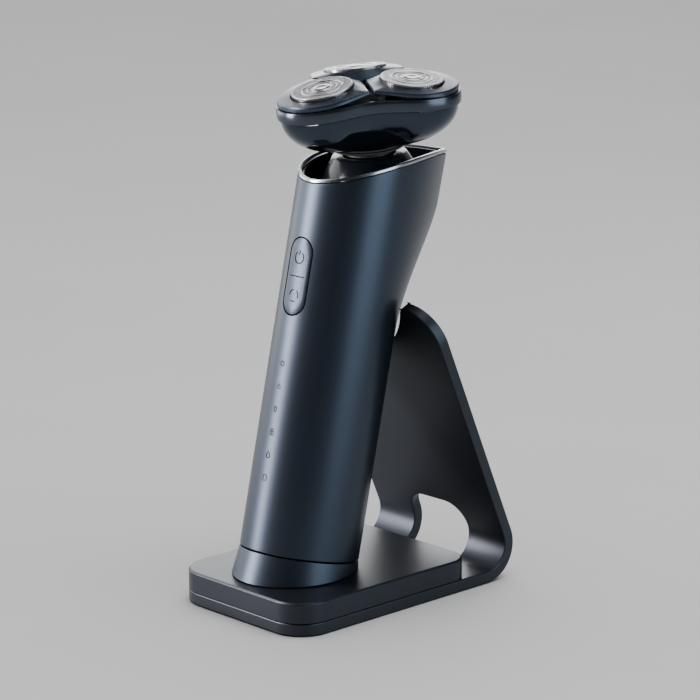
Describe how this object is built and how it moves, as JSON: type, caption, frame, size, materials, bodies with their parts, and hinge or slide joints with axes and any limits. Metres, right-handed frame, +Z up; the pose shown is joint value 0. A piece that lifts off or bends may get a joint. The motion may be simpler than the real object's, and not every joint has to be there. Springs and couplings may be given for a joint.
{
  "type": "rotary electric shaver with charging stand",
  "caption": "Three-headed rotary shaver with an oval metal handle, leaning in a charging stand of one bent plate.",
  "frame": {"origin": "middle of the stand's footprint, on the surface that it stands on", "axes": "+Z up and the longest way, -Y the shaver's front, X across, with X = 0 the plane of symmetry of the stand and the handle"},
  "size_m": [0.0622, 0.1005, 0.1773],
  "materials": {
    "satin_navy_metal": "satin metallic navy coat",
    "bright_trim": "polished",
    "gloss_black": "piano gloss",
    "silicone": "matte silicone",
    "black_plastic": "fine moulded grain",
    "foil_steel": "ground and slotted steel",
    "machine_steel": "turned steel",
    "contact_gold": "gold plated",
    "circuit_board": "solder mask",
    "cell_wrap": "shrink wrap",
    "gear_nylon": "natural nylon",
    "light_pipe": "moulded clear"
  },
  "bodies": {
    "stand": {"stand_plate": "satin_navy_metal", "foot_pad": "silicone", "charging_block": "satin_navy_metal", "cradle_collar": "satin_navy_metal", "charging_board": "circuit_board", "inlet_shell": "machine_steel", "inlet_tongue": "black_plastic", "block_screw_1": "machine_steel", "block_screw_2": "machine_steel", "block_screw_3": "machine_steel", "block_screw_4": "machine_steel", "contact_carrier": "black_plastic"},
    "left_pin": {"left_contact_pin": "contact_gold"},
    "right_pin": {"right_contact_pin": "contact_gold"},
    "handle": {"handle_sleeve": "satin_navy_metal", "rim_trim": "bright_trim", "top_deck": "gloss_black", "bottom_cap": "black_plastic", "left_charge_pad": "contact_gold", "right_charge_pad": "contact_gold", "cap_seal": "silicone", "chassis": "black_plastic", "battery_cell": "cell_wrap", "main_board": "circuit_board", "board_bracket": "black_plastic", "key_board": "circuit_board", "power_switch": "black_plastic", "mode_switch": "black_plastic", "indicator_board": "circuit_board", "light_guide": "light_pipe", "motor": "machine_steel", "motor_mount": "black_plastic", "neck_post": "gloss_black"},
    "key": {"rocker_key": "satin_navy_metal"},
    "rotor": {"drive_shaft": "machine_steel"},
    "gimbal": {"gimbal_ring": "black_plastic"},
    "neck": {"neck_ring": "gloss_black"},
    "hair_chamber": {"head_bowl": "gloss_black", "gear_plate": "black_plastic"},
    "sun": {"sun_gear": "gear_nylon"},
    "cutter_holder": {"head_band": "satin_navy_metal", "inner_frame": "black_plastic"},
    "front_planet": {"front_gear": "gear_nylon"},
    "front_pod_body": {"front_pod": "satin_navy_metal", "front_foil": "foil_steel"},
    "front_cutter_body": {"front_cutter": "machine_steel"},
    "right_planet": {"right_gear": "gear_nylon"},
    "right_pod_body": {"right_pod": "satin_navy_metal", "right_foil": "foil_steel"},
    "right_cutter_body": {"right_cutter": "machine_steel"},
    "left_planet": {"left_gear": "gear_nylon"},
    "left_pod_body": {"left_pod": "satin_navy_metal", "left_foil": "foil_steel"},
    "left_cutter_body": {"left_cutter": "machine_steel"}
  },
  "joints": [
    {"name": "shaver_lift", "type": "slide", "parent": "stand", "child": "handle", "axis": [0, 0.2164, 0.9763], "range_m": [0, 0.13]},
    {"name": "left_pin_press", "type": "slide", "parent": "stand", "child": "left_pin", "axis": [0, 0.2164, 0.9763], "range_m": [-0.001, 0], "stiffness_N_per_m": 400, "springref_m": 0.0005},
    {"name": "right_pin_press", "type": "slide", "parent": "stand", "child": "right_pin", "axis": [0, 0.2164, 0.9763], "range_m": [-0.001, 0], "stiffness_N_per_m": 400, "springref_m": 0.0005},
    {"name": "key_rock", "type": "hinge", "parent": "handle", "child": "key", "pos_m": [0, -0.02061, 0.11182], "axis": [1, 0, 0], "range_deg": [-2, 2], "stiffness_Nm_per_rad": 0.6},
    {"name": "motor_spin", "type": "hinge", "parent": "handle", "child": "rotor", "pos_m": [0, 0.00663, 0.13456], "axis": [0, 0.2164, 0.9763], "continuous": true},
    {"name": "head_pitch", "type": "hinge", "parent": "handle", "child": "gimbal", "pos_m": [0, 0.01046, 0.15186], "axis": [0.996, -0.0883, -0.0104], "range_deg": [-5, 5], "stiffness_Nm_per_rad": 1.2},
    {"name": "head_roll", "type": "hinge", "parent": "gimbal", "child": "neck", "pos_m": [0, 0.01046, 0.15186], "axis": [0.0889, 0.9892, 0.1162], "range_deg": [-5, 5], "stiffness_Nm_per_rad": 1.2},
    {"name": "head_pull", "type": "slide", "parent": "neck", "child": "hair_chamber", "axis": [0, -0.1167, 0.9932], "range_m": [0, 0.03]},
    {"name": "sun_spin", "type": "hinge", "parent": "hair_chamber", "child": "sun", "pos_m": [0, 0.00938, 0.16105], "axis": [0, -0.1167, 0.9932], "continuous": true},
    {"name": "holder_lift", "type": "slide", "parent": "hair_chamber", "child": "cutter_holder", "axis": [0, -0.1167, 0.9932], "range_m": [0, 0.015]},
    {"name": "front_gear_spin", "type": "hinge", "parent": "hair_chamber", "child": "front_planet", "pos_m": [-0.00145, -0.00669, 0.15916], "axis": [0, -0.1167, 0.9932], "continuous": true},
    {"name": "front_pod_flex", "type": "hinge", "parent": "cutter_holder", "child": "front_pod_body", "pos_m": [-0.0028, -0.02292, 0.16712], "axis": [0.996, -0.0883, -0.0104], "range_deg": [-2.5, 0], "stiffness_Nm_per_rad": 0.4, "springref_deg": 1.72},
    {"name": "front_cutter_spin", "type": "hinge", "parent": "front_pod_body", "child": "front_cutter_body", "pos_m": [-0.00153, -0.00931, 0.17294], "axis": [-0.0131, -0.2616, 0.9651], "continuous": true},
    {"name": "right_gear_spin", "type": "hinge", "parent": "hair_chamber", "child": "right_planet", "pos_m": [0.01474, 0.01618, 0.16184], "axis": [0, -0.1167, 0.9932], "continuous": true},
    {"name": "right_pod_flex", "type": "hinge", "parent": "cutter_holder", "child": "right_pod_body", "pos_m": [0.02857, 0.02141, 0.17233], "axis": [-0.421, 0.9008, 0.1058], "range_deg": [-2.5, 0], "stiffness_Nm_per_rad": 0.4, "springref_deg": 1.72},
    {"name": "right_cutter_spin", "type": "hinge", "parent": "right_pod_body", "child": "right_cutter_body", "pos_m": [0.01565, 0.01496, 0.1758], "axis": [0.1341, -0.0536, 0.9895], "continuous": true},
    {"name": "left_gear_spin", "type": "hinge", "parent": "hair_chamber", "child": "left_planet", "pos_m": [-0.01329, 0.01866, 0.16214], "axis": [0, -0.1167, 0.9932], "continuous": true},
    {"name": "left_pod_flex", "type": "hinge", "parent": "cutter_holder", "child": "left_pod_body", "pos_m": [-0.02577, 0.02623, 0.17289], "axis": [-0.575, -0.8126, -0.0955], "range_deg": [-2.5, 0], "stiffness_Nm_per_rad": 0.4, "springref_deg": 1.72},
    {"name": "left_cutter_spin", "type": "hinge", "parent": "left_pod_body", "child": "left_cutter_body", "pos_m": [-0.01411, 0.0176, 0.17611], "axis": [-0.1209, -0.031, 0.9922], "continuous": true}
  ],
  "couplings": [
    {"joint": "sun_spin", "follows": "motor_spin", "ratio": 1},
    {"joint": "front_gear_spin", "follows": "motor_spin", "ratio": -1.0833},
    {"joint": "front_cutter_spin", "follows": "motor_spin", "ratio": -1.0833},
    {"joint": "right_gear_spin", "follows": "motor_spin", "ratio": -1.0833},
    {"joint": "right_cutter_spin", "follows": "motor_spin", "ratio": -1.0833},
    {"joint": "left_gear_spin", "follows": "motor_spin", "ratio": -1.0833},
    {"joint": "left_cutter_spin", "follows": "motor_spin", "ratio": -1.0833}
  ]
}
